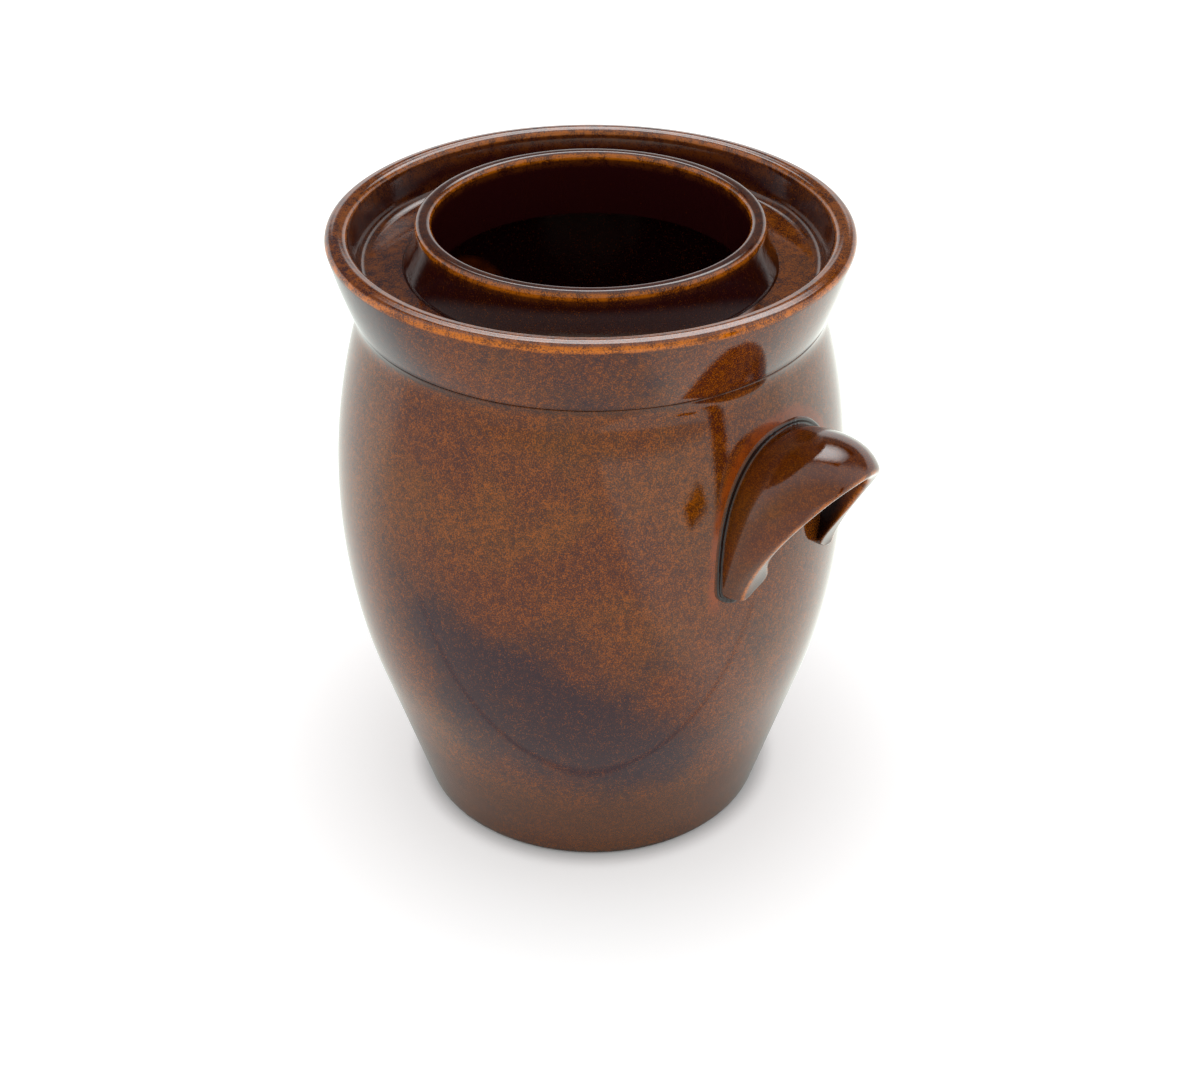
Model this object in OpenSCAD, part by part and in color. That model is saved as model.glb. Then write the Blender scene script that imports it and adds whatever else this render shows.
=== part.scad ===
// Water-seal pickle jar: a glazed stoneware crock with a water gutter round its neck, two ear handles and two
// loose weight stones. Millimetres. The origin is the centre of the foot, +Z is up, and the handles lie along X.

/* [Crock body] */
// Diameter of the foot, where the wall's outer face meets the table
base_d = 182; // [168:1:200]
// Widest diameter of the belly
belly_d = 256; // [246:1:270]
// Height of the belly's widest point
belly_z = 174; // [162:1:188]
// Radius of the belly's long curve in profile
belly_curve = 334; // [310:1:345]
// Height of the shoulder, where the gutter ring is luted on
shoulder_z = 280; // [272:1:286]
// Height of the bend in which the shoulder draws in and out again under the gutter ring
shoulder_bend = 12; // [8:1:16]
// How far the bend carries the shoulder's top out beyond the belly's curve
shoulder_flare = 3.1; // [2:0.1:4.5]
// Thickness of the thrown wall
wall = 9; // [7:0.5:12]
// Thickness of the floor
floor_t = 12; // [8:0.5:18]
// Radius of the cove between wall and floor inside
cove_r = 8; // [4:0.5:14]
// Rounding of the foot's outer edge
foot_round = 3; // [1:0.5:6]

/* [Gutter ring] */
// Outer diameter of the rim
rim_d = 250; // [242:1:262]
// Height of the ring, from the shoulder to the rim
ring_h = 37; // [30:1:44]
// Thickness of the rim
rim_t = 10.7; // [8:0.1:13]
// Rounding of the rim's two edges
rim_round = 3; // [1:0.5:4]
// Overhang of the ring's lower edge beyond the shoulder
ring_step = 1.1; // [0.5:0.1:2.5]
// Rounding of the ring's lower edge
ring_round = 0.9; // [0.3:0.1:1.5]
// Depth of the water gutter below the rim
gutter_depth = 19; // [14:1:24]
// Thickness of the gutter's floor
gutter_floor_t = 10; // [7:0.5:14]
// Slope of the gutter's outer wall, as the run from rim to floor
gutter_batter = 3.6; // [1:0.2:6]
// Radius of the cove between the gutter's floor and its outer wall
gutter_cove = 5; // [2:0.5:8]
// Hollow of the ring's outer face between shoulder and rim
flare_hollow = 0.6; // [0:0.1:1.5]

/* [Neck] */
// Bore of the mouth
mouth_d = 150; // [140:1:156]
// Thickness of the neck's wall at its lip
neck_wall = 7.8; // [6:0.2:10]
// Height of the neck's lip above the rim
neck_rise = 3.5; // [0:0.5:8]
// Spread of the neck's outer face from lip to foot
neck_spread = 6.8; // [3:0.2:9]
// Hollow of the neck's outer face
neck_hollow = 1.4; // [0:0.2:2]
// Rounding of the lip's two edges
lip_round = 2.6; // [1:0.2:3]

/* [Ear handles] */
// Width of a handle across its luted edge
handle_w = 89; // [80:1:98]
// Height of the legs' widest point above the table
handle_spring_z = 184; // [178:1:190]
// Height of the luted arch above the spring
handle_rise = 69; // [60:1:74]
// Width of the grip's free edge at its feet
grip_w = 68; // [60:1:76]
// Height of the free edge at its feet
grip_foot_z = 178.3; // [172:0.1:184]
// Rise of the free edge from foot to crown
grip_rise = 64.7; // [56:0.1:70]
// How far the grip's crown stands out beyond the belly's widest circle
grip_reach = 37.6; // [28:0.1:44]
// Thickness of the grip's lip at its crown
grip_t = 7.5; // [6:0.5:11]
// Thickness of the grip's lip where it is pinched, above the feet
pinch_t = 1.5; // [1:0.5:4]
// Width that the thumb's press adds to the lip at each foot
foot_press = 10; // [6:0.5:13]
// Thickness of the handle's root along the luted arch
root_t = 13; // [10:0.5:18]
// Drop of the rounded foot below the legs
foot_drop = 6; // [4:1:8]

/* [Weight stones] */
// Thickness of a weight stone
stone_t = 22; // [14:1:30]
// Radial clearance between the stones and the mouth, so that they lift out
stone_clear = 7.5; // [7:0.5:14]
// Gap between the two half-moon stones
stone_gap = 5; // [3:0.5:10]
// Rounding of the stones' edges
stone_round = 3; // [1:0.5:5]
// Gap under a stone lying on the glazed floor
seat_gap = 0.3; // [0.1:0.1:0.5]

/* [Hidden] */
$fn = 180;

glaze = [0.42, 0.23, 0.12];
glaze_dark = [0.34, 0.18, 0.10];
bisque = [0.72, 0.62, 0.50];

curve_steps = 12;
corner_steps = 6;
bend_steps = 6;

// Belly: one long arc, with a straight cone tangent to it below. Where that arc would leave no straight cone over
// the foot's rounding and the cove inside, the part below the widest point curves more tightly
belly_c = [belly_d / 2 - belly_curve, belly_z];
belly_gain = (belly_d - base_d) / 2;
foot_cone = foot_round + floor_t + 2 * cove_r;
meet_curve = (pow(belly_gain, 2) + pow(belly_z, 2) - pow(foot_cone, 2)) / (2 * belly_gain);
lower_curve = min(belly_curve, meet_curve);
lower_c = [belly_d / 2 - lower_curve, belly_z];
foot_v = [base_d / 2, 0] - lower_c;
cone_a = atan2(foot_v.y, foot_v.x) + acos(lower_curve / norm(foot_v));
cone_n = [cos(cone_a), sin(cone_a)];
cone_d = cone_n * lower_c + lower_curve;

// Gutter ring and neck
rim_r = rim_d / 2;
rim_z = shoulder_z + ring_h;
gutter_z = rim_z - gutter_depth;
ceiling_z = gutter_z - gutter_floor_t;
neck_z = rim_z + neck_rise;
mouth_r = mouth_d / 2;
lip_r = mouth_r + neck_wall;
neck_foot_r = lip_r + neck_spread;
curve_top_r = belly_c.x + sqrt(pow(belly_curve, 2) - pow(shoulder_z - belly_z, 2));
seat_r = curve_top_r + shoulder_flare;
bend_z = shoulder_z - shoulder_bend;
bend_a = asin((bend_z - belly_z) / belly_curve);
bend_r = belly_c.x + belly_curve * cos(bend_a);
seat_in_r = belly_c.x + sqrt(pow(belly_curve - wall, 2) - pow(shoulder_z - belly_z, 2));
ring_r = seat_r + ring_step;

// Handles: how the rings of points that make the grip are spaced, and how deep its root reaches to be cut
handle_steps = 28;
dome_steps = 4;
skin_steps = 9;
inner_steps = 6;
root_sink = 4;
// How closely the rings follow each other at the feet, as an exponent
station_exponent = 1.5;
// Fullness of the luted arch and of the grip's free edge, as exponents of sine and cosine
arch_exponent = 0.89;
edge_exponent = 0.80;
edge_reach_exponent = 0.79;
edge_rise_exponent = 0.60;
// Share of the grip's height at which its skin turns over, and the crown's own lift
skin_turn_ratio = 0.74;
skin_lift = 9;
// Share of the arch's rise that the finger hollow reaches at the wall
hollow_rise_ratio = 0.76;
// How fast a foot's form fades towards the crown, as an exponent
foot_fade_exponent = 2.5;
// Direction from the free edge to the inner edge of the lip: inwards, sideways and down at the crown, and what is
// added sideways and down at the feet
lip_in_ratio = 0.74;
lip_side_ratio = 0.85;
lip_gain_ratio = 0.11;
lip_down_ratio = 0.67;
lip_sag_ratio = 0.22;
// How fast the lip thins from the crown, as an exponent, and where the press at a foot is widest and how far it
// reaches up and down from there, as shares of the grip's rise
lip_exponent = 0.7;
press_place_ratio = 0.17;
press_up_ratio = 0.11;
press_down_ratio = 0.16;
// Share of the press by which the finger hollow narrows between the feet
hollow_foot_ratio = 0.4;
// Where the skin stops short of the free edge, and where the lip's flat begins and ends across its width
skin_end_ratio = 0.97;
lip_start_ratio = 0.08;
lip_end_ratio = 0.88;
// Bulge of the finger hollow outwards and up, as shares of the grip's stand from the wall
hollow_out_ratio = 0.08;
hollow_up_ratio = 0.16;
// Least stand of the grip from the wall, at the feet
stand_min = 2;
// Turn of the rounded foot's last ring, and the place of its middle as a share of half the handle's width
dome_angle = 88;
dome_place_ratio = 0.8;

stone_r = mouth_r - stone_clear;

// Points of an arc round c from angle a0 to a1
function arc(c, r, a0, a1, n) = [for (i = [0:n]) let (a = a0 + (a1 - a0) * i / n) c + r * [cos(a), sin(a)]];

// Points from p to q, bowed to the left of that way by the given amount at the middle
function bowed(p, q, bow, n) =
    let (side = [p.y - q.y, q.x - p.x] / norm(q - p))
    [for (i = [0:n]) let (t = i / n) p + (q - p) * t + side * bow * 4 * t * (1 - t)];

function tail(list) = [for (i = [1:len(list) - 1]) list[i]];
function reversed(list) = [for (i = [len(list) - 1:-1:0]) list[i]];

// Centre of a rounding of radius r between the level line at z and the cone line whose distance is d
function cone_corner(d, z, r) = [(d - r - cone_n.y * (z + r)) / cone_n.x, z + r];

// Radius of the belly's outer face at height z
function belly_r(z) = let (curve = z < belly_z ? lower_curve : belly_curve)
    belly_d / 2 - curve + sqrt(pow(curve, 2) - pow(z - belly_z, 2));

// Outer face of the body from the foot to the ring's seat
function body_face() = concat(
    arc(cone_corner(cone_d, 0, foot_round), foot_round, -90, cone_a, corner_steps),
    arc(lower_c, lower_curve, cone_a, 0, curve_steps),
    tail(arc(belly_c, belly_curve, 0, bend_a, curve_steps)),
    tail(bend()));

// The shoulder's bend: along the belly's curve at first, then out to the ring's seat
function bend() =
    let (turn = [bend_r - tan(bend_a) * shoulder_bend / 2, bend_z + shoulder_bend / 2])
    [for (i = [0:bend_steps]) let (t = i / bend_steps)
        pow(1 - t, 2) * [bend_r, bend_z] + 2 * t * (1 - t) * turn + t * t * [seat_r, shoulder_z]];

// Inner face of the body from the floor to the shoulder
function body_hollow() = concat(
    [[0, floor_t]],
    arc(cone_corner(cone_d - wall, floor_t, cove_r), cove_r, -90, cone_a, corner_steps),
    arc(lower_c, lower_curve - wall, cone_a, 0, curve_steps),
    tail(arc(belly_c, belly_curve - wall, 0, asin((shoulder_z - belly_z) / (belly_curve - wall)), curve_steps)));

module crock_body() {
    color(glaze)
        rotate_extrude()
            polygon(concat([[0, 0]], body_face(), reversed(body_hollow())));
}

// The ring's section: a ceiling over the jar, a cove down to the shoulder, the flared outer face, the rounded rim
// and the gutter's battered inner wall, coved into the gutter's floor
module gutter_ring() {
    cove = shoulder_z < ceiling_z ? min(gutter_cove, ceiling_z - shoulder_z) : 0;
    rim_out = [rim_r - rim_round, rim_z - rim_round];
    rim_in = [rim_r - rim_t + rim_round, rim_z - rim_round];
    gutter_r = rim_r - rim_t - gutter_batter;
    color(glaze)
        rotate_extrude()
            polygon(concat(
                [[neck_foot_r, ceiling_z]],
                reversed(arc([seat_in_r - cove, ceiling_z - cove], cove, 0, 90, corner_steps)),
                [[seat_in_r, shoulder_z]],
                arc([ring_r - ring_round, shoulder_z + ring_round], ring_round, -90, -10, corner_steps),
                bowed([ring_r, shoulder_z + ring_round], rim_out + [rim_round, 0], -flare_hollow, corner_steps),
                arc(rim_out, rim_round, 10, 90, corner_steps),
                arc(rim_in, rim_round, 90, 180, corner_steps),
                reversed(arc([gutter_r - gutter_cove, gutter_z + gutter_cove], gutter_cove, -90, 0, corner_steps)),
                [[neck_foot_r, gutter_z]]));
}

// The neck is luted into the gutter floor's hole, and its foot reaches down to the ceiling over the jar
module neck_ring() {
    color(glaze)
        rotate_extrude()
            polygon(concat(
                [[mouth_r, ceiling_z], [neck_foot_r, ceiling_z]],
                bowed([neck_foot_r, gutter_z], [lip_r, neck_z - lip_round], neck_hollow, corner_steps),
                arc([lip_r - lip_round, neck_z - lip_round], lip_round, 10, 90, corner_steps),
                arc([mouth_r + lip_round, neck_z - lip_round], lip_round, 90, 180, corner_steps)));
}

function signed_pow(x, p) = sign(x) * pow(abs(x), p);

// A point near the body's face: u along the wall from the handle's middle, z up, w outwards
function on_wall(u, z, w) = let (r = belly_r(z), a = u / r * 180 / PI) [(r + w) * cos(a), (r + w) * sin(a), z];

// How close a station is to a foot: 1 at the foot, falling quickly towards the crown
function footness(c) = pow(1 - c, foot_fade_exponent);

// The luted line at station a, and the finger hollow's line inside it
function luted(a, w) = let (c = max(0, cos(a)), s = sin(a))
    on_wall(handle_w / 2 * signed_pow(s, arch_exponent), handle_spring_z + handle_rise * pow(c, arch_exponent), w);
function hollow(a, w) = let (c = max(0, cos(a)), s = sin(a), f = footness(c))
    on_wall((handle_w / 2 - root_t - hollow_foot_ratio * foot_press * f) * signed_pow(s, arch_exponent),
        handle_spring_z + handle_rise * hollow_rise_ratio * pow(c, arch_exponent)
            - (handle_spring_z - grip_foot_z) * f, w);

// The grip's free edge, and the inner edge of its lip
function edge(a) = let (c = max(0, cos(a)), s = sin(a)) [
    belly_d / 2 + grip_reach * pow(c, edge_reach_exponent),
    grip_w / 2 * signed_pow(s, edge_exponent),
    grip_foot_z + grip_rise * pow(c, edge_rise_exponent)];
function lip_t(c) = let (p = pow(c, edge_rise_exponent) - press_place_ratio)
    pinch_t + (grip_t - pinch_t) * pow(c, lip_exponent)
        + foot_press * exp(-pow(p / (p < 0 ? press_down_ratio : press_up_ratio), 2));
function lip(a) = let (c = max(0, cos(a)), s = sin(a))
    edge(a) + lip_t(c) * [
        -lip_in_ratio * c,
        -s * (lip_side_ratio + lip_gain_ratio * footness(c)),
        -lip_down_ratio * c - lip_sag_ratio * (1 - c)];

// Station k of the handle, as an angle from the crown
function station(k) = let (t = k / handle_steps) 90 * sign(t) * (1 - pow(1 - abs(t), station_exponent));

// One ring of points round the grip at station a: its skin from the luted line to the free edge, the lip with
// its edges taken off, and the finger hollow back to the wall
function section(a) =
    let (c = max(0, cos(a)), root = luted(a, -root_sink), start = luted(a, 0), e = edge(a), i = lip(a),
        stand = max(stand_min, norm([e.x, e.y]) - belly_r(e.z)),
        turn = luted(a, skin_turn_ratio * stand) + [0, 0, skin_lift * c],
        back = hollow(a, -root_sink),
        crown = (i + back) / 2 + stand * [hollow_out_ratio, 0, hollow_up_ratio * c])
    concat(
        [root],
        [for (k = [0:skin_steps]) let (t = k / skin_steps * skin_end_ratio)
            pow(1 - t, 2) * start + 2 * t * (1 - t) * turn + t * t * e],
        [e + (i - e) * lip_start_ratio, e + (i - e) * lip_end_ratio],
        [for (k = [1:inner_steps]) let (t = k / inner_steps)
            pow(1 - t, 2) * i + 2 * t * (1 - t) * crown + t * t * back]);

// The rounded foot: the last section drawn in towards its middle while it drops
function dome(a, b) =
    let (s = section(a), u = sign(a) * dome_place_ratio * handle_w / 2,
        mid = on_wall(u, handle_spring_z - foot_drop / 2, -root_sink))
    [for (p = s) mid + (p - mid) * cos(b) - [0, 0, foot_drop * sin(b)]];

function handle_rings() = concat(
    [for (k = [dome_steps:-1:1]) dome(-90, k * dome_angle / dome_steps)],
    [for (k = [-handle_steps:handle_steps]) section(station(k))],
    [for (k = [1:dome_steps]) dome(90, k * dome_angle / dome_steps)]);

// An ear handle on the +X side: a skin of rings, cut to lie on the body's face
module ear_handle() {
    rings = handle_rings();
    n = len(rings);
    m = len(rings[0]);
    points = [for (ring = rings) for (p = ring) p];
    faces = concat(
        [[for (j = [0:m - 1]) j]],
        [for (i = [0:n - 2]) for (j = [0:m - 1]) [i * m + j, (i + 1) * m + j, i * m + (j + 1) % m]],
        [for (i = [0:n - 2]) for (j = [0:m - 1])
            [i * m + (j + 1) % m, (i + 1) * m + j, (i + 1) * m + (j + 1) % m]],
        [[for (j = [m - 1:-1:0]) (n - 1) * m + j]]);
    difference() {
        polyhedron(points, faces, convexity = 6);
        rotate_extrude()
            polygon(concat([[0, 0]], body_face(), [[0, shoulder_z]]));
    }
}

module handle_right() {
    color(glaze_dark)
        ear_handle();
}

module handle_left() {
    color(glaze_dark)
        rotate([0, 0, 180])
            ear_handle();
}

// Half a round slab with softened edges, lying on the jar's floor on the +X side
module weight_stone() {
    z0 = floor_t + seat_gap;
    intersection() {
        rotate_extrude()
            polygon(concat(
                [[0, z0]],
                arc([stone_r - stone_round, z0 + stone_round], stone_round, -90, 0, corner_steps),
                arc([stone_r - stone_round, z0 + stone_t - stone_round], stone_round, 0, 90, corner_steps),
                [[0, z0 + stone_t]]));
        translate([stone_gap / 2, -stone_r, z0])
            cube([stone_r, 2 * stone_r, stone_t]);
    }
}

module weight_stone_right() {
    color(bisque)
        weight_stone();
}

module weight_stone_left() {
    color(bisque)
        rotate([0, 0, 180])
            weight_stone();
}

crock_body();
gutter_ring();
neck_ring();
handle_right();
handle_left();
weight_stone_right();
weight_stone_left();
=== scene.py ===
import math

import bpy
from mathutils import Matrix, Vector
from mathutils.kdtree import KDTree


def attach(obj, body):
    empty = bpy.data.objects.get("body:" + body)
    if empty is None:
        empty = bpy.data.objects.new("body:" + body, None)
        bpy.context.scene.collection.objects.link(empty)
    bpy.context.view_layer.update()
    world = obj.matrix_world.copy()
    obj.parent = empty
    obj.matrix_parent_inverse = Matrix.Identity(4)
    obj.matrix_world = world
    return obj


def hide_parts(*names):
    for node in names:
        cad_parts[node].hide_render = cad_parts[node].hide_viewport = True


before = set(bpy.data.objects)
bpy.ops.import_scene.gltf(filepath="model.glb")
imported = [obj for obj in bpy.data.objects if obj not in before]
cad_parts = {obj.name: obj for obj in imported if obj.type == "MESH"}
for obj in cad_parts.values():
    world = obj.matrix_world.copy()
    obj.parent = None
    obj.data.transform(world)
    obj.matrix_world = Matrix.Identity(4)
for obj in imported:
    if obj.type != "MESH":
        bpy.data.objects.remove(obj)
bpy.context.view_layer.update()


# ---- Camera ----
# It looks down at the jar from above its rim, with the right-hand handle in front of it on the right. Its place,
# lens and tilt were worked out from the circles of rim, neck, belly and foot in the photograph.
CAMERA_PLACE = (0.5680, -0.6028, 0.6895)
CAMERA_TILT_DOWN = 33.72
CAMERA_TURN = 43.0
CAMERA_LENS = 57.09

bpy.ops.object.camera_add(
    location=CAMERA_PLACE,
    rotation=(math.radians(90 - CAMERA_TILT_DOWN), 0, math.radians(CAMERA_TURN)))
camera = bpy.context.object
camera.name = "camera"
camera.data.sensor_width = 36
camera.data.lens = CAMERA_LENS
bpy.context.scene.camera = camera
bpy.context.scene.view_settings.view_transform = "Standard"


# ---- Light tent and floor ----
# The jar stands on white paper in a light tent. The tent is bright at its sides, dimmer and a little warmer where
# it opens towards the camera, and dark high up behind the jar. The paper keeps the jar's soft shadow.
TENT_OPENING = 0.86
TENT_SIDES = 1.30
TENT_BACK = 0.14
TENT_LIGHT = 0.95
OPENING_COLOUR = (1.0, 0.94, 0.80)
# Ends of ramps over a direction's way towards the camera, and over its rise
OPENING_TOWARDS = (0.0, 0.7)
WARM_TOWARDS = (0.1, 0.7)
DARK_TOWARDS = (-0.15, -0.50)
DARK_RISE = (0.27, 0.41)
SOFTBOX_GLOW = 6.5
FLOOR_SIZE = 12.0
FLOOR_GLOW = 0.15
FLOOR_GLOW_NEAR = 2.1
FLOOR_GLOW_FAR = 4.0
MIRRORED_PAPER = (0.63, 0.68, 0.63, 1.0)
MIRRORED_SHARE = 0.75
MIRRORED_BEHIND = 1.75
MIRRORED_RIGHT = 0.85
MIRRORED_FOOT = 0.35
HANDLE_HEIGHT = 0.25
PURE_WHITE = (1.0, 1.0, 1.0, 1.0)


def link(tree, output, target):
    tree.links.new(output, target)


def node(tree, kind, label="", **sockets):
    """A shader node, with its sockets set to a value or joined to another node's output. i0, i1 and so on name a
    socket by its number."""
    made = tree.nodes.new(kind)
    made.label = label
    for name, value in sockets.items():
        numbered = name[0] == "i" and name[1:].isdigit()
        target = made.inputs[int(name[1:]) if numbered else name.replace("_", " ")]
        if isinstance(value, bpy.types.NodeSocket):
            link(tree, value, target)
        else:
            target.default_value = value
    return made


def calc(tree, operation, *values):
    """The output of a Math node."""
    made = tree.nodes.new("ShaderNodeMath")
    made.operation = operation
    for target, value in zip(made.inputs, values):
        if isinstance(value, bpy.types.NodeSocket):
            link(tree, value, target)
        else:
            target.default_value = value
    return made.outputs[0]


def ramp(tree, value, low, high, to_low=0.0, to_high=1.0):
    """value carried smoothly from low..high to to_low..to_high, and held at the ends."""
    made = tree.nodes.new("ShaderNodeMapRange")
    made.interpolation_type = "SMOOTHSTEP"
    link(tree, value, made.inputs["Value"])
    for name, number in (("From Min", low), ("From Max", high), ("To Min", to_low), ("To Max", to_high)):
        made.inputs[name].default_value = number
    return made.outputs["Result"]


def tint(tree, amount, first, second):
    """The colour first, turned into second by amount."""
    made = tree.nodes.new("ShaderNodeMix")
    made.data_type = "RGBA"
    for target, value in ((made.inputs[0], amount), (made.inputs[6], first), (made.inputs[7], second)):
        if isinstance(value, bpy.types.NodeSocket):
            link(tree, value, target)
        elif isinstance(value, (tuple, list)):
            target.default_value = (*value, 1.0)
        else:
            target.default_value = value
    return made.outputs[2]


world = bpy.data.worlds.new("light_tent")
bpy.context.scene.world = world
world.use_nodes = True
tree = world.node_tree
tree.nodes.clear()
direction = node(tree, "ShaderNodeTexCoord").outputs["Generated"]
towards = tree.nodes.new("ShaderNodeVectorMath")
towards.operation = "DOT_PRODUCT"
link(tree, direction, towards.inputs[0])
opening = Vector((math.sin(math.radians(CAMERA_TURN)), -math.cos(math.radians(CAMERA_TURN)), 0.0))
towards.inputs[1].default_value = opening
towards = towards.outputs["Value"]
light = ramp(tree, towards, *OPENING_TOWARDS, TENT_SIDES, TENT_OPENING)
# High up behind the jar, round the softbox, the tent is dark
upwards = node(tree, "ShaderNodeSeparateXYZ", Vector=direction).outputs["Z"]
high = calc(tree, "MULTIPLY", ramp(tree, upwards, *DARK_RISE), ramp(tree, towards, *DARK_TOWARDS))
light = calc(tree, "MULTIPLY", light, ramp(tree, high, 0.0, 1.0, 1.0, TENT_BACK))
path = node(tree, "ShaderNodeLightPath").outputs
gloss = path["Is Glossy Ray"]
strength = calc(tree, "ADD", calc(tree, "MULTIPLY", light, gloss), calc(
    tree, "MULTIPLY", calc(tree, "SUBTRACT", 1.0, gloss), TENT_LIGHT))
strength = calc(tree, "MAXIMUM", strength, path["Is Camera Ray"])
opens = calc(tree, "MULTIPLY", ramp(tree, towards, *WARM_TOWARDS), gloss)
white = tint(tree, opens, (1.0, 1.0, 1.0), OPENING_COLOUR)
background = node(tree, "ShaderNodeBackground", Color=white, Strength=strength)
link(tree, background.outputs[0], node(tree, "ShaderNodeOutputWorld").inputs["Surface"])

bpy.ops.mesh.primitive_plane_add(size=FLOOR_SIZE, location=(0, 0, 0))
floor = bpy.context.object
floor.name = "paper_floor"
paper = bpy.data.materials.new("white_paper")
paper.use_nodes = True
tree = paper.node_tree
tree.nodes.clear()
matt = node(tree, "ShaderNodeBsdfDiffuse", Color=PURE_WHITE)
x, y, z = node(tree, "ShaderNodeSeparateXYZ", Vector=node(tree, "ShaderNodeTexCoord").outputs["Object"]).outputs
from_axis = calc(tree, "SQRT", calc(tree, "ADD", calc(tree, "MULTIPLY", x, x), calc(tree, "MULTIPLY", y, y)))
# The paper's own glow grows away from the jar, a painted shadow round it, and is nothing under the foot and weak just
# outside it, a painted contact shadow
grows = ramp(tree, from_axis, 0.11, 0.30, FLOOR_GLOW_NEAR, FLOOR_GLOW_FAR)
glow = node(tree, "ShaderNodeEmission", Color=PURE_WHITE, Strength=calc(
    tree, "MULTIPLY", grows, ramp(tree, from_axis, 0.090, 0.104)))
mixed = node(tree, "ShaderNodeMixShader", Fac=FLOOR_GLOW, i1=matt.outputs[0], i2=glow.outputs[0])
# The glaze mirrors the paper dimmer than the camera sees it, most of all in front of the jar and close to its foot
behind = calc(tree, "ADD", calc(tree, "MULTIPLY", x, -opening.x), calc(tree, "MULTIPLY", y, -opening.y))
seen = calc(tree, "ADD", ramp(tree, behind, -0.09, 0.16, 1.0, MIRRORED_BEHIND), ramp(
    tree, calc(tree, "ADD", x, y), 0.12, 0.25, 0.0, MIRRORED_RIGHT))
seen = calc(tree, "MULTIPLY", seen, ramp(tree, from_axis, 0.085, 0.150, MIRRORED_FOOT, 1.0))
dim = node(tree, "ShaderNodeEmission", Color=MIRRORED_PAPER, Strength=seen)
mirrored = calc(tree, "MULTIPLY", node(tree, "ShaderNodeLightPath").outputs["Is Glossy Ray"], MIRRORED_SHARE)
mixed = node(tree, "ShaderNodeMixShader", Fac=mirrored, i1=mixed.outputs[0], i2=dim.outputs[0])
link(tree, mixed.outputs[0], node(tree, "ShaderNodeOutputMaterial").inputs["Surface"])
floor.data.materials.append(paper)

# Things that only the glaze mirrors: a large softbox above and behind the jar, a lamp stand and its clamp on the
# right, and the paper's front edge


def mirrored_only(name, azimuth, elevation, distance, size, glow, roll=0, soft=False):
    """A box turned to the jar, at a direction and distance from a point on the axis at the handles' height."""
    turn, rise = math.radians(azimuth), math.radians(elevation)
    place = Vector((math.cos(turn) * math.cos(rise), math.sin(turn) * math.cos(rise), math.sin(rise))) * distance
    place.z += HANDLE_HEIGHT
    bpy.ops.object.select_all(action="DESELECT")
    bpy.ops.mesh.primitive_cube_add(size=1.0)
    thing = bpy.context.object
    thing.name = name
    # Sized, rolled in its own plane, tipped up and turned, and moved to its place
    thing.scale = size
    bpy.ops.object.transform_apply(location=False, rotation=False, scale=True)
    thing.rotation_euler = (0, 0, math.radians(roll))
    bpy.ops.object.transform_apply(location=False, rotation=True, scale=False)
    thing.rotation_euler = (0, math.radians(90) - rise, turn)
    thing.location = place
    bpy.ops.object.transform_apply(location=True, rotation=True, scale=False)
    surface = bpy.data.materials.new(name)
    surface.use_nodes = True
    tree = surface.node_tree
    tree.nodes.clear()
    shine = node(tree, "ShaderNodeEmission", Color=PURE_WHITE, Strength=glow)
    if soft:
        # It fades towards its edges
        inside = node(tree, "ShaderNodeTexCoord").outputs["Generated"]
        off = tree.nodes.new("ShaderNodeVectorMath")
        off.operation = "DISTANCE"
        link(tree, inside, off.inputs[0])
        off.inputs[1].default_value = (0.5, 0.5, 0.5)
        link(tree, ramp(tree, off.outputs["Value"], 0.56, 0.20, 0.0, glow), shine.inputs["Strength"])
    link(tree, shine.outputs[0], node(tree, "ShaderNodeOutputMaterial").inputs["Surface"])
    thing.data.materials.append(surface)
    thing.visible_camera = False
    thing.visible_diffuse = False
    thing.visible_shadow = False
    thing.visible_transmission = False


mirrored_only("softbox", 120, 53, 1.6, (1.10, 1.75, 0.004), SOFTBOX_GLOW, soft=True)
mirrored_only("lamp_stand", 5, 1, 0.60, (0.50, 0.07, 0.004), 0.03)
mirrored_only("lamp_stand_clamp", -7, -14, 0.60, (0.065, 0.085, 0.004), 0.02, roll=30)
mirrored_only("paper_front_edge", -49, -61.5, 0.285, (0.003, 0.62, 0.004), 0.42)


# ---- Crock body ----
# The body is thrown in one from its floor to its shoulder: a wall bellied in one long curve over a straighter
# foot. It is dipped whole in a glossy iron-brown glaze, speckled orange, which is wiped off under the foot.
FOOT_R = 0.091
BELLY_R = 0.128
BELLY_Z = 0.174
BELLY_CURVE = 0.334
SHOULDER_Z = 0.280
WALL = 0.009
FLOOR_T = 0.012
FOOT_ROUND = 0.003
COVE_R = 0.008
# The shoulder's last stretch: how far each point stands out past the shoulder's edge, and its height
BEND_Z = 0.2705
BEND = ((0.00290, 0.2712), (0.00265, 0.2728), (0.00252, 0.2745), (0.00260, 0.2762), (0.00282, 0.2776),
        (0.00310, 0.2786), (0.00322, 0.27905), (0.00312, 0.27935), (0.00250, 0.27955), (0.00200, 0.27970))
TURNS = 256
SMOOTH_ANGLE = math.radians(60)
# The arch along which a handle is luted to the belly; the left one stands a little further round than opposite
HANDLE_W = 0.089
HANDLE_SPRING_Z = 0.184
HANDLE_RISE = 0.069
ARCH_POWER = 0.89
HANDLE_SKEW = math.radians(3)

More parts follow.
